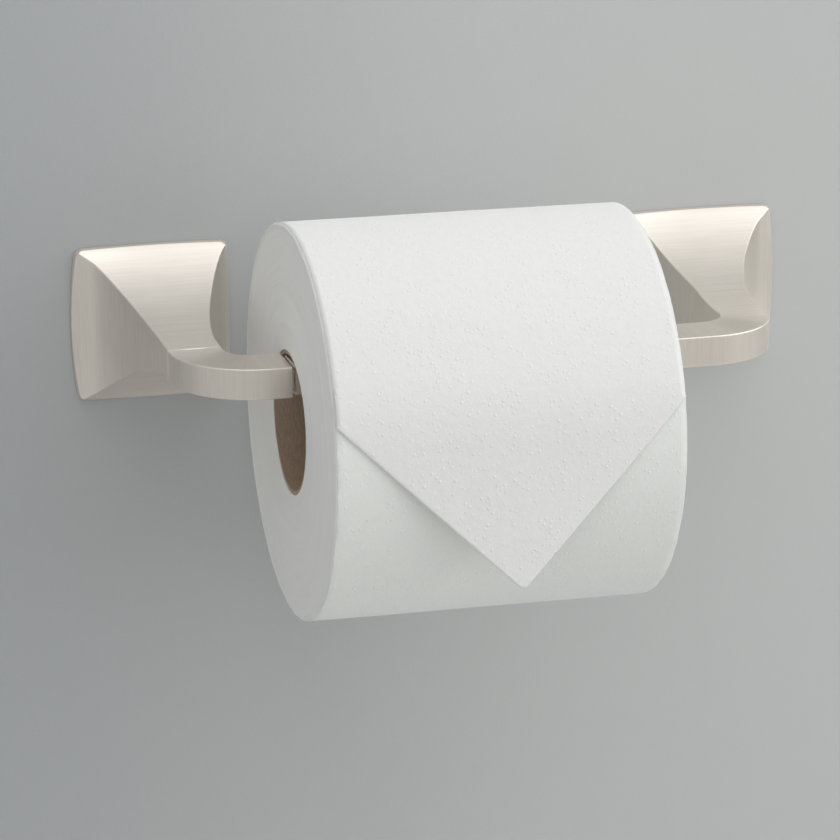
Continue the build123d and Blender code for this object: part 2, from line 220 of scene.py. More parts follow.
class NodeTree:
    """A thin helper that adds and links shader nodes."""

    def __init__(self, tree: bpy.types.NodeTree) -> None:
        """Work on this node tree."""
        self.tree = tree

    def node(self, kind: str, **values: object) -> bpy.types.Node:
        """Add one node and set its properties."""
        made = self.tree.nodes.new(kind)
        for key, value in values.items():
            setattr(made, key, value)
        return made

    def link(self, source: bpy.types.NodeSocket, target: bpy.types.NodeSocket) -> None:
        """Join two sockets."""
        self.tree.links.new(source, target)

    def math(self, operation: str, a: object, b: object = 0.0, clamp: bool = False) -> bpy.types.NodeSocket:
        """Add a math node; a and b are sockets or numbers.

        Returns:
            The node's output socket.
        """
        made = self.node("ShaderNodeMath", operation=operation, use_clamp=clamp)
        for index, value in enumerate((a, b)):
            if isinstance(value, bpy.types.NodeSocket):
                self.link(value, made.inputs[index])
            else:
                made.inputs[index].default_value = value
        return made.outputs[0]

    def weigh(
        self, a: bpy.types.NodeSocket, share_a: float, b: bpy.types.NodeSocket, share_b: float
    ) -> bpy.types.NodeSocket:
        """Add two sockets, each times its own share.

        Returns:
            The sum's socket.
        """
        return self.math("ADD", self.math("MULTIPLY", a, share_a), self.math("MULTIPLY", b, share_b))

    def swing(self, source: bpy.types.NodeSocket, middle: float, width: float) -> bpy.types.NodeSocket:
        """Turn a socket that runs from 0 to 1 into one that swings over a width about a middle.

        Returns:
            The swinging socket.
        """
        return self.math("ADD", self.math("MULTIPLY", source, width), middle - width / 2)

    def noise(self, vector: bpy.types.NodeSocket, scale: float, detail: float = 3.0) -> bpy.types.NodeSocket:
        """Add a noise texture.

        Returns:
            Its factor output.
        """
        made = self.node("ShaderNodeTexNoise")
        made.inputs["Scale"].default_value = scale
        made.inputs["Detail"].default_value = detail
        self.link(vector, made.inputs["Vector"])
        return made.outputs["Fac"]

    def stretch(self, vector: bpy.types.NodeSocket, scale: Sequence[float]) -> bpy.types.NodeSocket:
        """Multiply a vector by three numbers.

        Returns:
            The scaled vector socket.
        """
        made = self.node("ShaderNodeVectorMath", operation="MULTIPLY")
        self.link(vector, made.inputs[0])
        made.inputs[1].default_value = scale
        return made.outputs[0]

    def blend(
        self, factor: bpy.types.NodeSocket, dark: Sequence[float], light: Sequence[float]
    ) -> bpy.types.NodeSocket:
        """Mix two fixed colours by a factor.

        Returns:
            The colour socket.
        """
        made = self.node("ShaderNodeMix", data_type="RGBA")
        self.link(factor, made.inputs["Factor"])
        made.inputs[6].default_value = (*dark, 1.0)
        made.inputs[7].default_value = (*light, 1.0)
        return made.outputs[2]


def new_group(
    name: str, inputs: Sequence[tuple[str, str, float]], outputs: Sequence[str]
) -> tuple[NodeTree, bpy.types.Node, bpy.types.Node]:
    """Start a shader node group.

    Args:
        name: the group's name.
        inputs: name, socket type and default of each input; a vector's default isn't set.
        outputs: names of the number outputs.

    Returns:
        The tree helper, the group's input node and its output node.
    """
    tree = bpy.data.node_groups.new(name, "ShaderNodeTree")
    for label, kind, default in inputs:
        socket = tree.interface.new_socket(label, in_out="INPUT", socket_type=kind)
        if kind == "NodeSocketFloat":
            socket.default_value = default
    for label in outputs:
        tree.interface.new_socket(label, in_out="OUTPUT", socket_type="NodeSocketFloat")
    helper = NodeTree(tree)
    return helper, helper.node("NodeGroupInput"), helper.node("NodeGroupOutput")


def brushed_lines_group() -> bpy.types.NodeTree:
    """Fine parallel brush lines.

    Returns:
        A group with the inputs Surface (path, girth) and Lines per metre, and the outputs Lines, Cloud.
    """
    helper, given, result = new_group(
        "brushed_lines",
        [("Surface", "NodeSocketVector", 0.0), ("Lines per metre", "NodeSocketFloat", 3000.0)],
        ["Lines", "Cloud"],
    )
    scaled = helper.node("ShaderNodeVectorMath", operation="SCALE")
    helper.link(given.outputs["Surface"], scaled.inputs[0])
    helper.link(given.outputs["Lines per metre"], scaled.inputs["Scale"])
    fine = helper.noise(helper.stretch(scaled.outputs[0], (1.0, 0.018, 1.0)), 1.0, 2.0)
    broad = helper.noise(helper.stretch(scaled.outputs[0], (0.22, 0.008, 1.0)), 1.0, 2.0)
    total = helper.weigh(fine, 0.62, broad, 0.38)
    spread = helper.math("ADD", helper.math("MULTIPLY", helper.math("SUBTRACT", total, 0.5), 1.7), 0.5, True)
    helper.link(spread, result.inputs["Lines"])
    helper.link(helper.noise(given.outputs["Surface"], 90.0, 2.0), result.inputs["Cloud"])
    return helper.tree


def mottle_group() -> bpy.types.NodeTree:
    """Soft uneven patches with a finer grain on them.

    Returns:
        A group with the inputs Place and two sizes in repeats per metre, and the outputs Patch, Grain.
    """
    helper, given, result = new_group(
        "mottle",
        [
            ("Place", "NodeSocketVector", 0.0),
            ("Patches per metre", "NodeSocketFloat", 60.0),
            ("Grains per metre", "NodeSocketFloat", 1500.0),
        ],
        ["Patch", "Grain"],
    )
    for source, target, detail in (("Patches per metre", "Patch", 3.0), ("Grains per metre", "Grain", 4.0)):
        made = helper.node("ShaderNodeTexNoise")
        made.inputs["Detail"].default_value = detail
        helper.link(given.outputs["Place"], made.inputs["Vector"])
        helper.link(given.outputs[source], made.inputs["Scale"])
        helper.link(made.outputs["Fac"], result.inputs[target])
    return helper.tree


def emboss_group() -> bpy.types.NodeTree:
    """Small raised dots in slanting, uneven rows, with soft paper fibre between them.

    Returns:
        A group with the inputs Surface and Dots per metre, and the outputs Height, Shade.
    """
    helper, given, result = new_group(
        "tissue_emboss",
        [("Surface", "NodeSocketVector", 0.0), ("Dots per metre", "NodeSocketFloat", 560.0)],
        ["Height", "Shade"],
    )
    turned = helper.node("ShaderNodeVectorRotate", rotation_type="Z_AXIS")
    turned.inputs["Angle"].default_value = 0.62
    helper.link(given.outputs["Surface"], turned.inputs["Vector"])
    cells = helper.node("ShaderNodeTexVoronoi", feature="F1")
    cells.inputs["Randomness"].default_value = 0.55
    helper.link(turned.outputs[0], cells.inputs["Vector"])
    helper.link(given.outputs["Dots per metre"], cells.inputs["Scale"])
    near = helper.math("SUBTRACT", 1.0, helper.math("MULTIPLY", cells.outputs["Distance"], 3.5), True)
    dot = helper.math("POWER", near, 0.6)
    lumps = helper.noise(given.outputs["Surface"], 130.0, 3.0)
    strong = helper.math("MULTIPLY", helper.math("SUBTRACT", lumps, 0.32), 4.0, True)
    fibre = helper.noise(given.outputs["Surface"], 2300.0, 3.0)
    cloud = helper.noise(given.outputs["Surface"], 420.0, 3.0)
    soft = helper.weigh(fibre, 0.45, cloud, 0.75)
    height = helper.math("ADD", helper.math("MULTIPLY", dot, strong), soft)
    helper.link(height, result.inputs["Height"])
    shade = helper.weigh(helper.math("MULTIPLY", dot, strong), 0.5, cloud, 0.5)
    helper.link(shade, result.inputs["Shade"])
    return helper.tree


class Groups:
    """The shared shader groups, each built once."""

    brushed: bpy.types.NodeTree
    mottle: bpy.types.NodeTree
    emboss: bpy.types.NodeTree

    @classmethod
    def build(cls) -> None:
        """Make all the groups."""
        cls.brushed = brushed_lines_group()
        cls.mottle = mottle_group()
        cls.emboss = emboss_group()


class Surface(Enum):
    """Where a material takes its surface coordinates from."""

    BRUSH = "brush"
    OBJECT = "object"


def start_material(
    name: str, surface: Surface
) -> tuple[bpy.types.Material, NodeTree, bpy.types.Node, bpy.types.NodeSocket]:
    """Start a node material.

    Returns:
        The material, the tree helper, its Principled node and the vector socket with the coordinates.
    """
    material = bpy.data.materials.new(name)
    material.use_nodes = True
    helper = NodeTree(material.node_tree)
    shader = material.node_tree.nodes["Principled BSDF"]
    if surface is Surface.BRUSH:
        source = helper.node("ShaderNodeAttribute", attribute_name="brush")
        return material, helper, shader, source.outputs["Vector"]
    source = helper.node("ShaderNodeTexCoord")
    return material, helper, shader, source.outputs["Object"]


def place_group(
    helper: NodeTree, tree: bpy.types.NodeTree, vector: bpy.types.NodeSocket, *values: float
) -> bpy.types.Node:
    """Place a shared group, feed its vector and set its other inputs in order.

    Returns:
        The group's node.
    """
    made = helper.node("ShaderNodeGroup", node_tree=tree)
    helper.link(vector, made.inputs[0])
    for socket, value in zip(list(made.inputs)[1:], values):
        socket.default_value = value
    return made


def add_bump(
    helper: NodeTree, shader: bpy.types.Node, height: bpy.types.NodeSocket, depth: float, strength: float
) -> None:
    """Feed a height into the shader's normal; depth is in metres."""
    bump = helper.node("ShaderNodeBump")
    bump.inputs["Distance"].default_value = depth
    bump.inputs["Strength"].default_value = strength
    helper.link(height, bump.inputs["Height"])
    helper.link(bump.outputs["Normal"], shader.inputs["Normal"])


@dataclass(frozen=True)
class BrushedMetal:
    """Brushed or satin plated metal."""

    name: str
    dark: tuple[float, float, float]
    light: tuple[float, float, float]
    roughness: float
    lines_per_metre: float = 2600.0
    line_depth: float = 0.000003
    surface: Surface = Surface.BRUSH
    anisotropic: float = 0.2

    def material(self) -> bpy.types.Material:
        """Build the node material."""
        material, helper, shader, where = start_material(self.name, self.surface)
        lines = place_group(helper, Groups.brushed, where, self.lines_per_metre)
        factor = helper.weigh(lines.outputs["Lines"], 0.75, lines.outputs["Cloud"], 0.25)
        helper.link(helper.blend(factor, self.dark, self.light), shader.inputs["Base Color"])
        rough = helper.swing(lines.outputs["Lines"], self.roughness, 0.07)
        helper.link(rough, shader.inputs["Roughness"])
        shader.inputs["Metallic"].default_value = 1.0
        shader.inputs["Anisotropic"].default_value = self.anisotropic
        if self.surface is Surface.BRUSH:
            course = helper.node("ShaderNodeAttribute", attribute_name="course")
            helper.link(course.outputs["Vector"], shader.inputs["Tangent"])
        add_bump(helper, shader, lines.outputs["Lines"], self.line_depth, 0.35)
        return material


@dataclass(frozen=True)
class Moulding:
    """Moulded plastic or rubber with a faint mottle."""

    name: str
    dark: tuple[float, float, float]
    light: tuple[float, float, float]
    roughness: float
    subsurface: float = 0.0

    def material(self) -> bpy.types.Material:
        """Build the node material."""
        material, helper, shader, where = start_material(self.name, Surface.OBJECT)
        spots = place_group(helper, Groups.mottle, where, 120.0, 2600.0)
        helper.link(helper.blend(spots.outputs["Patch"], self.dark, self.light), shader.inputs["Base Color"])
        rough = helper.swing(spots.outputs["Grain"], self.roughness, 0.16)
        helper.link(rough, shader.inputs["Roughness"])
        shader.inputs["Subsurface Weight"].default_value = self.subsurface
        shader.inputs["Subsurface Scale"].default_value = 0.001
        add_bump(helper, shader, spots.outputs["Grain"], 0.00002, 0.3)
        return material


@dataclass(frozen=True)
class Tissue:
    """Soft white paper, embossed where a single sheet shows."""

    name: str
    dark: tuple[float, float, float]
    light: tuple[float, float, float]
    dots_per_metre: float
    depth: float
    translucency: float = 0.15

    def material(self) -> bpy.types.Material:
        """Build the node material."""
        material, helper, shader, where = start_material(self.name, Surface.BRUSH)
        emboss = place_group(helper, Groups.emboss, where, self.dots_per_metre)
        helper.link(helper.blend(emboss.outputs["Shade"], self.dark, self.light), shader.inputs["Base Color"])
        rough = helper.math("SUBTRACT", 0.97, helper.math("MULTIPLY", emboss.outputs["Height"], 0.1))
        helper.link(rough, shader.inputs["Roughness"])
        shader.inputs["Specular IOR Level"].default_value = 0.2
        shader.inputs["Subsurface Weight"].default_value = self.translucency
        shader.inputs["Subsurface Radius"].default_value = (1.0, 0.95, 0.85)
        shader.inputs["Subsurface Scale"].default_value = 0.0012
        shader.inputs["Sheen Weight"].default_value = 0.12
        shader.inputs["Sheen Roughness"].default_value = 0.6
        add_bump(helper, shader, emboss.outputs["Height"], self.depth, 0.8)
        return material


@dataclass(frozen=True)
class WoundEdge:
    """The cut end of many wound layers: fine rings with faint darker streaks."""

    name: str
    dark: tuple[float, float, float]
    light: tuple[float, float, float]

    def material(self) -> bpy.types.Material:
        """Build the node material; the brush attribute holds radius and arc length."""
        material, helper, shader, where = start_material(self.name, Surface.BRUSH)
        layers = place_group(helper, Groups.brushed, where, 2600.0)
        spots = place_group(helper, Groups.mottle, where, 45.0, 2400.0)
        factor = helper.weigh(layers.outputs["Lines"], 0.55, spots.outputs["Patch"], 0.45)
        helper.link(helper.blend(factor, self.dark, self.light), shader.inputs["Base Color"])
        rough = helper.math("ADD", helper.math("MULTIPLY", spots.outputs["Grain"], 0.1), 0.88)
        helper.link(rough, shader.inputs["Roughness"])
        shader.inputs["Specular IOR Level"].default_value = 0.15
        add_bump(helper, shader, layers.outputs["Lines"], 0.00012, 0.6)
        return material


@dataclass(frozen=True)
class Board:
    """Grey-brown wound cardboard with fibres."""

    name: str
    dark: tuple[float, float, float]
    light: tuple[float, float, float]

    def material(self) -> bpy.types.Material:
        """Build the node material."""
        material, helper, shader, where = start_material(self.name, Surface.BRUSH)
        spots = place_group(helper, Groups.mottle, where, 220.0, 2200.0)
        fibre = helper.noise(helper.stretch(where, (1800.0, 420.0, 1.0)), 1.0, 3.0)
        factor = helper.weigh(fibre, 0.6, spots.outputs["Grain"], 0.4)
        helper.link(helper.blend(factor, self.dark, self.light), shader.inputs["Base Color"])
        rough = helper.math("ADD", helper.math("MULTIPLY", spots.outputs["Patch"], 0.1), 0.82)
        helper.link(rough, shader.inputs["Roughness"])
        shader.inputs["Specular IOR Level"].default_value = 0.2
        add_bump(helper, shader, factor, 0.00005, 0.5)
        return material


@dataclass(frozen=True)
class PaintedWall:
    """Rolled wall paint, painted darker on the left as painted shade; its back lets the view through, so the
    object can be seen from behind.
    """

    name: str
    dark: tuple[float, float, float]
    light: tuple[float, float, float]
    # where the painted shade fades from the dark colour to the light one, in metres along X
    painted_shade_from: float = -0.17
    painted_shade_to: float = 0.05

    def material(self) -> bpy.types.Material:
        """Build the node material; the paint is lighter towards the right, painted shade that stands in for
        the light falling off towards the left.
        """
        material, helper, shader, where = start_material(self.name, Surface.OBJECT)
        spots = place_group(helper, Groups.mottle, where, 6.0, 1300.0)
        split = helper.node("ShaderNodeSeparateXYZ")
        helper.link(where, split.inputs[0])
        # painted shade: the base colour runs from dark on the left to light on the right in place of the
        # light's fall-off
        across = helper.node("ShaderNodeMapRange", interpolation_type="SMOOTHSTEP")
        across.inputs["From Min"].default_value = self.painted_shade_from
        across.inputs["From Max"].default_value = self.painted_shade_to
        helper.link(split.outputs["X"], across.inputs["Value"])
        grain = helper.math("MULTIPLY", helper.math("SUBTRACT", spots.outputs["Grain"], 0.5), 0.35)
        both = helper.math("ADD", across.outputs["Result"], grain)
        helper.link(helper.blend(both, self.dark, self.light), shader.inputs["Base Color"])
        shader.inputs["Roughness"].default_value = 0.6
        shader.inputs["Specular IOR Level"].default_value = 0.25
        add_bump(helper, shader, spots.outputs["Grain"], 0.0002, 0.16)
        back = helper.node("ShaderNodeNewGeometry")
        clear = helper.node("ShaderNodeBsdfTransparent")
        switch = helper.node("ShaderNodeMixShader")
        output = material.node_tree.nodes["Material Output"]
        helper.link(back.outputs["Backfacing"], switch.inputs[0])
        helper.link(shader.outputs[0], switch.inputs[1])
        helper.link(clear.outputs[0], switch.inputs[2])
        helper.link(switch.outputs[0], output.inputs["Surface"])
        return material


class Finishes:
    """Every finish on the object and its stage, built once."""

    def __init__(self) -> None:
        """Build the shared groups, then each material."""
        Groups.build()
        self.nickel = BrushedMetal(
            "satin_nickel", (0.74, 0.685, 0.615), (0.925, 0.87, 0.80), 0.38, anisotropic=0.8
        ).material()
        self.steel = BrushedMetal(
            "zinc_plated_steel", (0.42, 0.43, 0.45), (0.62, 0.63, 0.64), 0.34, 1800.0, surface=Surface.OBJECT
        ).material()
        self.bush = Moulding("natural_acetal", (0.74, 0.73, 0.68), (0.86, 0.85, 0.81), 0.42, 0.1).material()
        self.rubber = Moulding("soft_pad", (0.05, 0.05, 0.05), (0.09, 0.09, 0.09), 0.7).material()
        self.nylon = Moulding("anchor_nylon", (0.58, 0.60, 0.60), (0.72, 0.73, 0.72), 0.48, 0.08).material()
        self.tissue = Tissue(
            "wound_tissue", (0.80, 0.815, 0.79), (0.865, 0.88, 0.855), 560.0, 0.00018
        ).material()
        self.leaf = Tissue(
            "embossed_tissue", (0.825, 0.82, 0.805), (0.91, 0.905, 0.895), 560.0, 0.00020
        ).material()
        self.wound = WoundEdge("wound_paper_edge", (0.77, 0.765, 0.735), (0.88, 0.885, 0.865)).material()
        self.board = Board("core_board", (0.22, 0.155, 0.105), (0.60, 0.47, 0.36)).material()
        # the wall's dark colour is painted shade for its left side, its light colour the lit paint on the
        # right
        self.wall = PaintedWall("wall_paint_painted_shade", (0.425, 0.44, 0.447), (0.535, 0.548, 0.545)).material()
        self.floor = Moulding("pale_floor", (0.70, 0.70, 0.69), (0.74, 0.74, 0.73), 0.6).material()


# ---- posts and elbows ---------------------------------------------------------------------------


@dataclass(frozen=True)
class Flank:
    """One flank's curve, in millimetres from the wall: pull points, end, and steepness at its start."""

    near: float
    far: float
    end: float
    slope: float
    bevel: Point = (0.0, 0.0)

    def half(self, y: float, rim_half: float, neck_half: float, rim_depth: float) -> float:
        """Half size of the post on this flank at a distance y from the wall."""
        if y <= rim_depth:
            return rim_half
        if y >= self.end:
            return neck_half
        start, half = rim_depth + self.bevel[0], rim_half - self.bevel[1]
        if y <= start:
            return mix(rim_half, half, (y - rim_depth) / self.bevel[0])
        pull = half - self.slope * (self.near - start)
        points = ((start, half), (self.near, pull), (self.far, neck_half), (self.end, neck_half))
        low, high = 0.0, 1.0
        for _ in range(40):
            middle = (low + high) / 2
            if bezier(points, middle)[0] < y:
                low = middle
            else:
                high = middle
        return bezier(points, (low + high) / 2)[1]


@dataclass
class Casting:
    """Sizes that both posts and both elbows share, in millimetres. Built for the left side."""

    side: int = -1
    post_x: float = field(default_factory=lambda: frame["record"]["mounts"][0]["dims"]["spacing_x_mm"] / 2)
    rim_depth: float = 2.3
    rim_corner: Point = (23.7, 23.9)
    rim_bow_outer: float = 1.7
    rim_bow_inner: float = 0.7
    rim_bow_height: float = 0.3
    rim_draft: float = 0.6
    rim_corner_r: float = 1.8
    flare_half: Point = (22.7, 22.9)
    outer: Flank = Flank(7.0, 20.0, 52.0, 1.15, (2.6, 3.7))
    inner: Flank = Flank(7.3, 28.5, 45.8, 1.1)
    height: Flank = Flank(10.0, 25.7, 52.0, 1.0)
    lip_slope: float = 1.75
    lip_rise: float = 0.9
    neck_half: float = 8.1
    neck_half_h: float = 4.65
    neck_shift: float = 2.4
    seam_y: float = 53.0
    seam_gap: float = 0.2
    arm_front: float = 80.6
    arm_back: float = 64.2
    edge_r: float = 0.45
    ridge_r: float = 0.5
    pocket: Point = (17.0, 18.4)
    pocket_depth: float = 4.8
    well_x: Point = (-9.5, 12.5)
    well_half_h: float = 11.0
    well_depth: float = 14.0

    def ring(self, a: Point, b: Point, half_h: float, radius: float) -> list[Vector]:
        """A rounded section standing over the plan line from a (outer side) to b (inner side).

        Args:
            a, b: X and Y of the section's two sides.
            half_h: half its height.
            radius: its corner radius.

        Returns:
            The ring's points on this casting's side of the holder.
        """
        width = math.dist(a, b)
        across = ((b[0] - a[0]) / width, (b[1] - a[1]) / width)
        points = rounded_ring(0.0, width, -half_h, half_h, radius)
        sign = -self.side
        return [Vector((sign * (a[0] + across[0] * s), a[1] + across[1] * s, z)) for s, z in points]

    def flare_sizes(self, y: float) -> tuple[float, float, float]:
        """Outer half, inner half and half height of the post at a distance y from the wall."""
        w, h = self.flare_half
        outer = self.outer.half(y, w, self.neck_half - self.neck_shift, self.rim_depth)
        inner = self.inner.half(y, w, self.neck_half + self.neck_shift, self.rim_depth)
        return outer, inner, self.height.half(y, h, self.neck_half_h, self.rim_depth)

    def flare_ring(self, y: float, inset: float = 0.0) -> list[Vector]:
        """The post's section at a distance y from the wall, drawn in by an inset."""
        outer, inner, half_h = self.flare_sizes(y)
        radius = mix(self.ridge_r, self.edge_r, smoothstep(10.0, self.seam_y, y))
        a = (-self.post_x - outer + inset, -y)
        b = (-self.post_x + inner - inset, -y)
        return self.ring(a, b, half_h - inset, radius)

    def lip_ring(self, depths: Sequence[float]) -> list[Vector]:
        """The section where the flare runs on past the rim's front, each point at its own depth."""
        w, h = self.flare_half
        result = []
        for index, depth in enumerate(depths):
            grow, rise = self.lip_slope * depth, self.lip_rise * depth
            points = rounded_ring(-w - grow, w + grow, -h - rise, h + rise, self.ridge_r)
            x, z = points[index]
            result.append(Vector((x, -(self.rim_depth - depth), z)))
        return result

    def outside_rim(self, point: Vector) -> float:
        """How far a point, measured from the post's centre, stands outside the rim's side."""
        lean = self.rim_draft * -point.y / self.rim_depth
        w, h = self.rim_corner[0] - lean, self.rim_corner[1] - lean
        bow = self.rim_bow_inner if point.x > 0 else self.rim_bow_outer
        half_x = w + bow * (1 - min(abs(point.z) / h, 1.0) ** 2)
        half_z = h + self.rim_bow_height * (1 - min(abs(point.x) / w, 1.0) ** 2)
        radius = self.rim_corner_r
        qx, qz = abs(point.x) - half_x + radius, abs(point.z) - half_z + radius
        return math.hypot(max(qx, 0), max(qz, 0)) + min(max(qx, qz), 0) - radius

    def rim_edge_depths(self) -> list[float]:
        """Depth behind the rim's front at which each point of the lip meets the rim's side."""
        count = len(rounded_ring(-1, 1, -1, 1, 0.1))
        depths = []
        for index in range(count):
            low, high = 0.0, self.rim_depth - 0.1
            for _ in range(30):
                middle = (low + high) / 2
                if self.outside_rim(self.lip_ring([middle] * count)[index]) < 0:
                    low = middle
                else:
                    high = middle
            depths.append((low + high) / 2)
        return depths

    def settle(self, ring: Iterable[Vector]) -> list[Vector]:
        """Move points measured from the post's centre, roll towards +X, to this side's place."""
        sign = -self.side
        return [Vector((sign * (p.x - self.post_x), p.y, p.z)) for p in ring]

    def rim_rings(self) -> list[list[Vector]]:
        """Rings from the pocket in the back, round the rim, up to the flare's foot."""
        depths = self.rim_edge_depths()
        edge = self.lip_ring(depths)
        soft = 0.16
        before = self.lip_ring([max(d - soft, 0.0) for d in depths])
        rings = []
        for y in (0.0, 0.15):
            side = []
            for p in edge:
                lean = self.rim_draft / self.rim_depth * (-p.y - y)
                inset = 0.12 if y == 0.0 else 0.0
                flat = Vector((p.x, 0, p.z)).normalized()
                ax, az = abs(p.x) > abs(p.z) - 0.8, abs(p.z) > abs(p.x) - 0.8
                out = Vector((math.copysign(1, p.x) * ax, 0, math.copysign(1, p.z) * az))
                out = out.normalized() if out.length else flat
                side.append(Vector((p.x, -y, p.z)) + out * (lean - inset))
            rings.append(side)
        below = [Vector((p.x, p.y + soft, p.z)) for p in edge]
        rounded = [p + Vector((-0.03 * (p.x > 0) + 0.03 * (p.x < 0), 0.02, 0)) for p in edge]
        rings += [below, rounded, before]
        pocket = []
        w, h = self.pocket
        x0, x1 = self.well_x
        for y, sizes, radius in (
            (self.well_depth, (x0, x1, self.well_half_h), 1.0),
            (self.pocket_depth, (x0, x1, self.well_half_h), 1.0),
            (self.pocket_depth, (-w, w, h), 1.2),
            (0.0, (-w, w, h), 1.2),
        ):
            points = rounded_ring(sizes[0], sizes[1], -sizes[2], sizes[2], radius)
            pocket.append([Vector((x, -y, z)) for x, z in points])
        return [self.settle(r) for r in pocket + rings]

    def flare_rings(self, stop_short: float) -> list[list[Vector]]:
        """Rings from the flare's foot to the seam, closer together near the rim."""
        steps = 60
        kink = self.rim_depth + self.outer.bevel[0]
        places = [mix(self.rim_depth, kink, k / 5) for k in range(5)] + [kink - 0.12, kink + 0.12]
        places += [mix(kink, self.seam_y - stop_short, (k / steps) ** 1.3) for k in range(2, steps + 1)]
        return [self.flare_ring(y) for y in places]

    def bend_rings(self, start_y: float, tip_x: float, outer_r: float, inner_r: float) -> list[list[Vector]]:
        """Rings along an elbow, from the seam round the bend to the tip.

        Args:
            start_y: distance from the wall at which it starts.
            tip_x: X of the tip, as on the left side.
            outer_r, inner_r: radii of its outer and inner plan curves.

        Returns:
            The rings.
        """
        out_x = -self.post_x + self.neck_shift - self.neck_half
        in_x = -self.post_x + self.neck_shift + self.neck_half
        outer_c = (out_x + outer_r, -self.arm_front + outer_r)
        inner_c = (in_x + inner_r, -self.arm_back + inner_r)
        rings = []

        def section(a: Point, b: Point) -> None:
            rings.append(self.ring(a, b, self.neck_half_h, self.edge_r))

        for k in range(5):
            t = k / 5
            section((out_x, mix(-start_y, outer_c[1], t)), (in_x, mix(-start_y, inner_c[1], t)))
        turns = 28
        for k in range(turns + 1):
            angle = math.radians(180 + 90 * k / turns)
            c, s = math.cos(angle), math.sin(angle)
            outer = (outer_c[0] + outer_r * c, outer_c[1] + outer_r * s)
            section(outer, (inner_c[0] + inner_r * c, inner_c[1] + inner_r * s))
        for k in range(1, 9):
            t = k / 8
            section((mix(outer_c[0], tip_x, t), -self.arm_front), (mix(inner_c[0], tip_x, t), -self.arm_back))
        return rings

    def chamfer_end(self, ring: Sequence[Vector], towards: Vector, depth: float) -> list[Vector]:
        """A copy of an end ring, drawn in and moved on, that gives the end face a fine chamfer."""
        centre = sum(ring, Vector()) / len(ring)
        result = []
        for p in ring:
            inward = centre - p
            inward = Vector((inward.x, inward.y, inward.z)).normalized() * depth
            result.append(p + inward + towards * depth)
        return result


@dataclass
class LeftPost(Casting):
    """The left wall post, up to its joint with the swinging elbow."""

    def build(self, finish: Finishes) -> None:
        """Make the casting in place of its plain solid."""
        skin = RingMesh("left_post_casting")
        for ring in self.rim_rings() + self.flare_rings(0.3):
            skin.add(ring)
        skin.add(self.chamfer_end(skin.rings[-1], Vector((0, -1, 0)), 0.3))
        obj = skin.build(flip=self.side > 0)
        obj.data.materials.append(finish.nickel)
        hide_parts("left_post")
        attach(obj, "posts")
        LOG.info("built %s", obj.name)


@dataclass
class RightPost(Casting):
    """The right wall post, cast in one with its elbow and the ledge for the bar."""

    side: int = 1
    outer: Flank = Flank(7.0, 21.0, 52.0, 1.15, (2.6, 3.7))
    inner: Flank = Flank(9.3, 29.1, 33.9, 0.88)
    neck_half: float = 7.2
    neck_shift: float = 4.6
    tip_x: float = 51.5
    outer_r: float = 24.0
    inner_r: float = 9.0
    ledge_length: float = 7.3
    ledge_half_depth: float = 7.2
    ledge_z: Point = (-4.3, -1.2)
    ledge_soft: float = 0.3

    def build(self, finish: Finishes) -> None:
        """Make the casting in place of its plain solid."""
        skin = RingMesh("right_post_casting")
        for ring in self.rim_rings() + self.flare_rings(0.0):
            skin.add(ring)
        bend = self.bend_rings(self.seam_y, -self.tip_x, self.outer_r, self.inner_r)
        for ring in bend[1:]:
            skin.add(ring)
        skin.add(self.chamfer_end(skin.rings[-1], Vector((-1, 0, 0)), 0.2))
        middle = -(self.arm_front + self.arm_back) / 2
        ledge = RingMesh("right_post_ledge")
        free_x = self.tip_x - self.ledge_length
        for x, inset in ((self.tip_x + 0.5, 0.0), (free_x + self.ledge_soft, 0.0), (free_x, self.ledge_soft)):
            half = self.ledge_half_depth - inset
            points = rounded_ring(-half, half, self.ledge_z[0] + inset, self.ledge_z[1] - inset, 0.5)
            ledge.add([Vector((x, middle + s, z)) for s, z in points])
        casting = skin.build(flip=self.side > 0)
        shelf = ledge.build()
        for obj in (casting, shelf):
            obj.data.materials.append(finish.nickel)
            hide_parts("right_post")
            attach(obj, "posts")
            LOG.info("built %s", obj.name)


@dataclass
class LeftElbow(Casting):
    """The elbow that swings on the left post and holds the bar."""

    tip_x: float = -62.2
    outer_r: float = 25.0
    inner_r: float = 8.0

    def build(self, finish: Finishes) -> None:
        """Make the elbow in place of its plain solid."""
        skin = RingMesh("swing_elbow")
        rings = self.bend_rings(self.seam_y + self.seam_gap, self.tip_x, self.outer_r, self.inner_r)
        skin.add(self.chamfer_end(rings[0], Vector((0, 0, 0)), 0.3))
        skin.add([p + Vector((0, -0.3, 0)) for p in rings[0]])
        for ring in rings[1:-1]:
            skin.add(ring)
        skin.add([p + Vector((-0.2, 0, 0)) for p in rings[-1]])
        skin.add(self.chamfer_end(rings[-1], Vector((0, 0, 0)), 0.2))
        obj = skin.build(flip=self.side > 0)
        obj.data.materials.append(finish.nickel)
        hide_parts("left_elbow")
        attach(obj, "arm")
        LOG.info("built %s", obj.name)


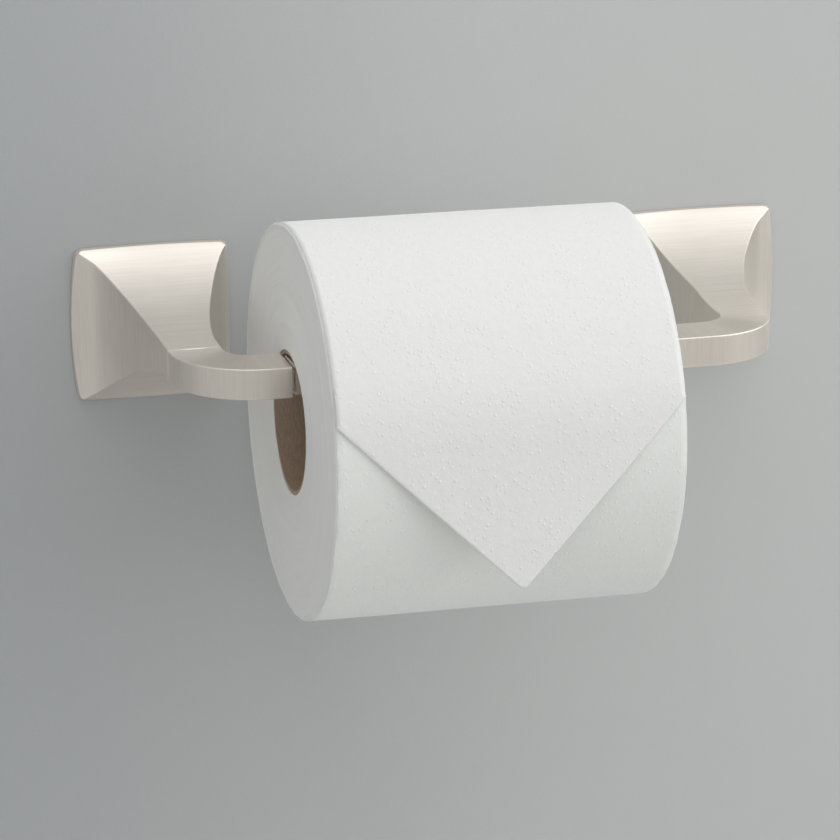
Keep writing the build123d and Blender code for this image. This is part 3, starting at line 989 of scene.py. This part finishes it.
@dataclass
class RollBar:
    """The flat bar through the roll, with its lap over the right ledge, in millimetres."""

    start_x: float = -61.2
    end_x: float = 43.4
    lap_end_x: float = 50.8
    middle_y: float = -72.4
    half_depth: float = 7.2
    half_height: float = 4.3
    lap_bottom: float = 0.1
    edge_r: float = 1.0
    lap_edge_r: float = 0.9
    tenon: Point = (5.2, 2.6)
    tenon_x: Point = (-71.2, -61.0)

    def bar(self, name: str, xs: Point, z: Point, half: float, radius: float) -> bpy.types.Object:
        """One straight stretch of the bar with softened ends.

        Args:
            name: the piece's name.
            xs: its two ends.
            z: its bottom and top.
            half: half its depth.
            radius: radius of its long edges.

        Returns:
            The new object.
        """
        skin = RingMesh(name)
        soft = 0.25
        stations = [(xs[0], soft), (xs[0] + soft, 0.0)]
        stations += [(mix(xs[0] + soft, xs[1] - soft, k / 24), 0.0) for k in range(1, 24)]
        stations += [(xs[1] - soft, 0.0), (xs[1], soft)]
        for x, inset in stations:
            points = rounded_ring(-half + inset, half - inset, z[0] + inset, z[1] - inset, radius)
            skin.add([Vector((x, self.middle_y + s, h)) for s, h in points])
        return skin.build(flip=True)

    def build(self, finish: Finishes) -> None:
        """Make the bar, its lap and its tenon in place of the plain solid."""
        pieces = [
            self.bar(
                "bar",
                (self.start_x, self.end_x),
                (-self.half_height, self.half_height),
                self.half_depth,
                self.edge_r,
            ),
            self.bar(
                "bar_lap",
                (self.end_x - 1, self.lap_end_x),
                (self.lap_bottom, self.half_height),
                self.half_depth,
                self.lap_edge_r,
            ),
            self.bar("bar_tenon", self.tenon_x, (-self.tenon[1], self.tenon[1]), self.tenon[0], 0.3),
        ]
        for obj in pieces:
            obj.data.materials.append(finish.nickel)
            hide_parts("roll_bar")
            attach(obj, "arm")
            LOG.info("built %s", obj.name)


# ---- the roll -----------------------------------------------------------------------------------


@dataclass
class PaperRoll:
    """The wound roll, its core and its loose leaf, in millimetres about the roll's own axis."""

    low: Vector = field(default_factory=lambda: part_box("paper_roll")[0] / MM)
    high: Vector = field(default_factory=lambda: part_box("paper_roll")[1] / MM)
    core_high: Vector = field(default_factory=lambda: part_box("cardboard_core")[1] / MM)
    board: float = 1.2
    corner_r: float = 0.8
    sag: float = 0.65
    ragged: float = 0.35
    tears_per_radian: float = 14.0
    leaf_x: Point = (-61.0, 40.6)
    leaf_start: float = 118.0
    leaf_corner: Point = (14.9, 16.2)
    leaf_tip: Point = (52.2, -35.4)
    leaf_leave: float = 7.3
    leaf_curl: float = 0.0008
    leaf_proud: float = 0.95
    fold_r: float = 0.42
    sheet_thick: float = 0.22

    def __post_init__(self) -> None:
        """Work out the roll's axis and radii."""
        self.axis_y = (self.low.y + self.high.y) / 2
        self.axis_z = (self.low.z + self.high.z) / 2
        self.radius = (self.high.z - self.low.z) / 2
        self.length = self.high.x - self.low.x
        self.core_r = self.core_high.z - self.axis_z

    def at(self, x: float, angle: float, radius: float) -> Vector:
        """A point at x, with the angle measured up from the front, in radians."""
        return Vector((x, self.axis_y - radius * math.cos(angle), self.axis_z + radius * math.sin(angle)))

    def outer_radius(self, x: float, angle: float) -> float:
        """The roll's slightly uneven radius; its right end is wound a little lower."""
        place = Vector((x * 0.03, math.cos(angle) * 1.6, math.sin(angle) * 1.6))
        uneven = 0.16 * noise.noise(place) + 0.04 * noise.noise(place * 5)
        along = (x - self.low.x) / self.length
        return self.radius - 0.1 + uneven - self.sag * along * math.sin(angle)

    def paper(self, finish: Finishes) -> None:
        """Make the wound body: outer face, rounded edges and layered ends."""
        around = 300
        profile: list[tuple[float, float, bool]] = []
        x0, x1 = self.low.x, self.high.x
        ends = 26
        for k in range(ends):
            profile.append((x0, mix(self.core_r, self.radius - self.corner_r, k / (ends - 1)), True))
        soft = self.corner_r
        for k in range(1, 4):
            a = math.radians(90 * k / 4)
            profile.append((x0 + soft * (1 - math.cos(a)), self.radius - soft * (1 - math.sin(a)), True))
        rows = 60
        for k in range(rows + 1):
            profile.append((mix(x0 + self.corner_r, x1 - self.corner_r, k / rows), self.radius, False))
        for k in range(3, 0, -1):
            a = math.radians(90 * k / 4)
            profile.append((x1 - soft * (1 - math.cos(a)), self.radius - soft * (1 - math.sin(a)), True))
        for k in range(ends - 1, -1, -1):
            profile.append((x1, mix(self.core_r, self.radius - self.corner_r, k / (ends - 1)), True))
        verts, faces, brush, paint = [], [], [], []
        for row, (x, r, is_end) in enumerate(profile):
            for i in range(around):
                angle = math.pi + math.tau * i / around
                share = r / self.radius
                uneven = (self.outer_radius(x, angle) - self.radius) * smoothstep(0.6, 1.0, share)
                dish = 0.0
                if is_end:
                    tears = self.tears_per_radian
                    ragged = noise.noise(Vector((math.cos(angle) * tears, math.sin(angle) * tears, x)))
                    uneven += self.ragged * (ragged - 0.3) * smoothstep(0.95, 1.0, share)
                    towards = 1 if x < (x0 + x1) / 2 else -1
                    layer = noise.noise(Vector((r * 0.35, 3.1 * math.cos(angle) * 0.3, towards * 7.0)))
                    fine = noise.noise(Vector((r * 2.1, math.cos(angle) * 0.6, math.sin(angle) * 0.6)))
                    dish = towards * (0.28 + 0.22 * layer + 0.1 * fine) * (1 - smoothstep(0.985, 1.0, share))
                p = self.at(x + dish, angle, r + uneven)
                verts.append(p * MM)
                if is_end:
                    brush.append((r * MM, angle * r * MM, 0.02))
                else:
                    brush.append((x * MM, angle * self.radius * MM, 0.0))
        for row in range(len(profile) - 1):
            flat = max(profile[row][1], profile[row + 1][1]) < self.radius - 0.5
            end_face = profile[row][2] and profile[row + 1][2] and flat
            for i in range(around):
                j = (i + 1) % around
                a, b = row * around, (row + 1) * around
                faces.append((a + i, b + i, b + j, a + j))
                paint.append(1 if end_face else 0)
        last = (len(profile) - 1) * around
        for i in range(around):
            j = (i + 1) % around
            faces.append((last + i, i, j, last + j))
            paint.append(1)
        obj = make_object("wound_paper", verts, faces, brush, 60.0)
        obj.data.materials.append(finish.tissue)
        obj.data.materials.append(finish.wound)
        obj.data.polygons.foreach_set("material_index", paint)
        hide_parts("paper_roll")
        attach(obj, "roll")
        LOG.info("built %s", obj.name)

    def core(self, finish: Finishes) -> None:
        """Make the cardboard tube with its spiral seam."""
        around, rows = 180, 70
        x0, x1 = self.low.x + 0.5, self.high.x - 0.5
        outer, inner = self.core_r - 0.02, self.core_r - self.board
        skin = RingMesh("wound_core")

        def ring(x: float, radius: float, seam: float) -> list[Vector]:
            points = []
            for i in range(around):
                angle = math.tau * i / around
                spiral = (x * 0.045 + angle) % math.tau
                step = seam * smoothstep(0.0, 0.12, spiral) * (1 - smoothstep(0.12, 3.2, spiral))
                wave = 0.08 * noise.noise(Vector((x * 0.05, math.cos(angle) * 2, math.sin(angle) * 2)))
                end = 0.12 * noise.noise(Vector((math.cos(angle) * 6, math.sin(angle) * 6, x)))
                shift = end if x in (x0, x1) else 0.0
                points.append(self.at(x + shift, angle, radius + step + wave * (seam != 0)))
            return points

        for k in range(rows + 1):
            skin.add(ring(mix(x0, x1, k / rows), inner, 0.16))
        for k in range(rows + 1):
            skin.add(ring(mix(x1, x0, k / rows), outer, 0.0))
        obj = skin.build(closed=True)
        obj.data.materials.append(finish.board)
        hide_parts("cardboard_core")
        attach(obj, "roll")
        LOG.info("built %s", obj.name)

    def leaf_point(self, x: float, s: float, layer: float) -> Vector:
        """Lay a point of the flat leaf on the roll, or hang it off the roll's front.

        Args:
            x: distance across from the leaf's left edge.
            s: arc length up the roll's front from level with its axis.
            layer: height of this ply above the roll.

        Returns:
            The point in millimetres.
        """
        place_x = self.leaf_x[0] + x
        start = smoothstep(36.0, 17.0, s)
        calm = noise.noise(Vector((x * 0.04, s * 0.04, 2.0))) * 0.22 * smoothstep(30.0, 0.0, s)
        height = mix(0.12, layer, start) + calm
        if s >= self.leaf_leave:
            angle = s / self.radius
            return self.at(place_x, angle, self.outer_radius(place_x, angle) + height)
        lean = self.leaf_leave / self.radius
        base = self.at(place_x, lean, self.outer_radius(place_x, lean) + height)
        turned = lean - self.leaf_curl * (self.leaf_leave - s)
        out = (math.cos(turned) - math.cos(lean)) / self.leaf_curl
        down = (math.sin(lean) - math.sin(turned)) / self.leaf_curl
        return base - Vector((0.0, out, down))

    def leaf(self, finish: Finishes) -> None:
        """Make the loose leaf: one sheet whose two lower corners are folded behind it to a point."""
        width, tip = self.leaf_x[1] - self.leaf_x[0], Vector(self.leaf_tip)
        left, right = Vector((0.0, self.leaf_corner[0])), Vector((width, self.leaf_corner[1]))
        columns, upper, lower, flap, bend = 72, 60, 56, 18, 5
        verts: list[Vector] = []
        brush: list[tuple[float, float, float]] = []
        faces: list[tuple[int, ...]] = []

        def put(flat: Vector, layer: float, original: Vector) -> int:
            verts.append(self.leaf_point(flat.x, flat.y, layer) * MM)
            brush.append((original.x * MM, original.y * MM, 0.0))
            return len(verts) - 1

        def weave(rows: Sequence[Sequence[int]], turn: bool = False) -> None:
            for above, under in zip(rows, rows[1:]):
                for i in range(len(above) - 1):
                    loop = [above[i], under[i], under[i + 1], above[i + 1]]
                    loop = list(dict.fromkeys(loop))
                    if len(loop) > 2:
                        faces.append(tuple(reversed(loop)) if turn else tuple(loop))

        rows: list[list[int]] = []
        for j in range(upper + lower + 1):
            row = []
            for i in range(columns + 1):
                t = i / columns
                if j <= upper:
                    edge = mix(left.y, right.y, t)
                    flat = Vector((width * t, mix(self.leaf_start, edge, j / upper)))
                else:
                    f = min((j - upper) / lower, 0.999)
                    a, b = left.lerp(tip, f), right.lerp(tip, f)
                    flat = a.lerp(b, t)
                row.append(put(flat, self.leaf_proud, flat))
            rows.append(row)
        weave(rows)
        fold_rows = rows[upper:]
        for corner, column, side, base in ((left, 0, -1, 0.20), (right, -1, 1, 0.42)):
            along = (tip - corner).normalized()
            out = Vector((along.y, -along.x)) * (-side)
            if out.x * side < 0:
                out = -out
            cut = Vector((corner.x, tip.y))
            strips: list[list[int]] = []
            for j, row in enumerate(fold_rows):
                f = min(j / lower, 0.999)
                start = corner.lerp(tip, f)
                goal = corner.lerp(cut, f * 2) if f < 0.5 else cut.lerp(tip, f * 2 - 1)
                strip = [row[column]]
                depth = (self.leaf_proud - base) / 2
                for k in range(1, bend):
                    a = math.pi * k / bend
                    flat = start + out * self.fold_r * math.sin(a)
                    layer = self.leaf_proud - depth * (1 - math.cos(a))
                    strip.append(put(flat, layer, start + out * self.fold_r * a))
                for k in range(flap + 1):
                    flat = start.lerp(goal, k / flap)
                    offset = flat - start
                    inward = offset - 2 * offset.dot(out) * out
                    strip.append(put(start + inward, base, flat))
                strips.append(strip)
            weave(strips, turn=side < 0)
        obj = make_object("loose_leaf", verts, faces, brush, 80.0)
        thick = obj.modifiers.new("ply", "SOLIDIFY")
        thick.thickness, thick.offset = self.sheet_thick * MM, 0.0
        obj.data.materials.append(finish.leaf)
        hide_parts("paper_leaf")
        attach(obj, "roll")
        LOG.info("built %s", obj.name)

    def build(self, finish: Finishes) -> None:
        """Make all three pieces."""
        self.paper(finish)
        self.core(finish)
        self.leaf(finish)


# ---- carried-over parts -------------------------------------------------------------------------


class FrameParts:
    """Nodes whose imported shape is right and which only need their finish."""

    STEEL = (
        "pivot_bolt",
        "wave_washer",
        "tenon_screw",
        "left_bracket",
        "right_bracket",
        "left_set_screw",
        "right_set_screw",
        "left_wall_screws",
        "right_wall_screws",
    )

    def dress(self, finish: Finishes) -> None:
        """Give each carried-over node its material."""
        table = {name: finish.steel for name in self.STEEL}
        table |= {"pivot_bush": finish.bush, "rest_pad": finish.rubber}
        table |= {"left_wall_anchors": finish.nylon, "right_wall_anchors": finish.nylon}
        for name, material in table.items():
            node = frame["nodes"][name]
            node = node if isinstance(node, bpy.types.Object) else bpy.data.objects[name]
            if not node.material_slots:
                node.data.materials.append(material)
            for slot in node.material_slots:
                slot.material = material
            LOG.info("dressed %s", name)


# ---- stage --------------------------------------------------------------------------------------


@dataclass
class Studio:
    """Camera, backdrop, floor and soft lights, in metres and degrees."""

    camera_at: tuple[float, float, float] = (-0.30217, -1.13732, 0.30711)
    yaw: float = 14.731
    pitch: float = -16.387
    roll: float = -0.246
    lens: float = 167.08
    wall_half: float = 0.75
    floor_z: float = -0.42

    def camera(self) -> None:
        """Make the camera: it looks along +Y, turned right by yaw and down by pitch."""
        data = bpy.data.cameras.new("camera")
        data.lens, data.sensor_width = self.lens, 36.0
        data.clip_start, data.clip_end = 0.05, 20.0
        obj = bpy.data.objects.new("camera", data)
        bpy.context.scene.collection.objects.link(obj)
        heading = Matrix.Rotation(math.radians(-self.yaw), 4, "Z")
        tilt = Matrix.Rotation(math.radians(90 + self.pitch), 4, "X")
        twist = Matrix.Rotation(math.radians(self.roll), 4, "Z")
        obj.matrix_world = Matrix.Translation(self.camera_at) @ (heading @ tilt) @ twist
        bpy.context.scene.camera = obj

    def backdrop(self, finish: Finishes) -> None:
        """Make the painted wall behind the posts and the floor below."""
        h, z = self.wall_half, self.floor_z
        wall_corners = ((-h, 0, z), (h, 0, z), (h, 0, h), (-h, 0, h))
        wall = make_object("stage_wall", [Vector(p) for p in wall_corners], [(0, 1, 2, 3)])
        wall.location.y = 0.0003
        wall.data.materials.append(finish.wall)
        wall.visible_shadow = False
        floor_corners = ((-2, -2.5, z), (2, -2.5, z), (2, 2, z), (-2, 2, z))
        floor = make_object("stage_floor", [Vector(p) for p in floor_corners], [(0, 1, 2, 3)])
        floor.data.materials.append(finish.floor)

    def light(
        self,
        name: str,
        at: Sequence[float],
        aim: Sequence[float],
        size: Point,
        watts: float,
        colour: Sequence[float],
    ) -> None:
        """Add one soft rectangular light.

        Args:
            name: the light's name.
            at: where it stands.
            aim: the point it faces.
            size: its width and height.
            watts: its power.
            colour: its colour.
        """
        data = bpy.data.lights.new(name, "AREA")
        data.shape, data.size, data.size_y = "RECTANGLE", size[0], size[1]
        data.energy, data.color = watts, colour
        obj = bpy.data.objects.new(name, data)
        obj.location = at
        obj.rotation_euler = (Vector(aim) - Vector(at)).to_track_quat("-Z", "Y").to_euler()
        bpy.context.scene.collection.objects.link(obj)

    def lights(self) -> None:
        """Set the soft studio lights and the even surroundings."""
        self.light("side", (1.30, -0.60, 0.40), (0, -0.05, 0), (1.2, 1.2), 8.0, (1.0, 0.995, 0.98))
        self.light("top", (0.15, -0.45, 0.95), (0, -0.05, 0), (1.4, 1.0), 4.5, (0.98, 0.99, 1.0))
        self.light("behind", (-0.6, 1.3, 0.7), (0, 0, 0), (1.2, 1.2), 4.0, (1.0, 1.0, 1.0))
        world = bpy.data.worlds.new("studio")
        world.use_nodes = True
        world.node_tree.nodes["Background"].inputs["Color"].default_value = (1.0, 1.0, 1.0, 1.0)
        world.node_tree.nodes["Background"].inputs["Strength"].default_value = 0.60
        bpy.context.scene.world = world
        bpy.context.scene.view_settings.view_transform = "Standard"


def main() -> None:
    """Build the stage, then every part of the holder in order."""
    logging.basicConfig(level=logging.INFO, format="%(name)s: %(message)s")
    studio = Studio()
    studio.camera()
    finish = Finishes()
    studio.backdrop(finish)
    studio.lights()
    for part in (LeftPost(), RightPost(), LeftElbow(), RollBar(), PaperRoll()):
        part.build(finish)
    FrameParts().dress(finish)


if __name__ == "__main__":
    main()
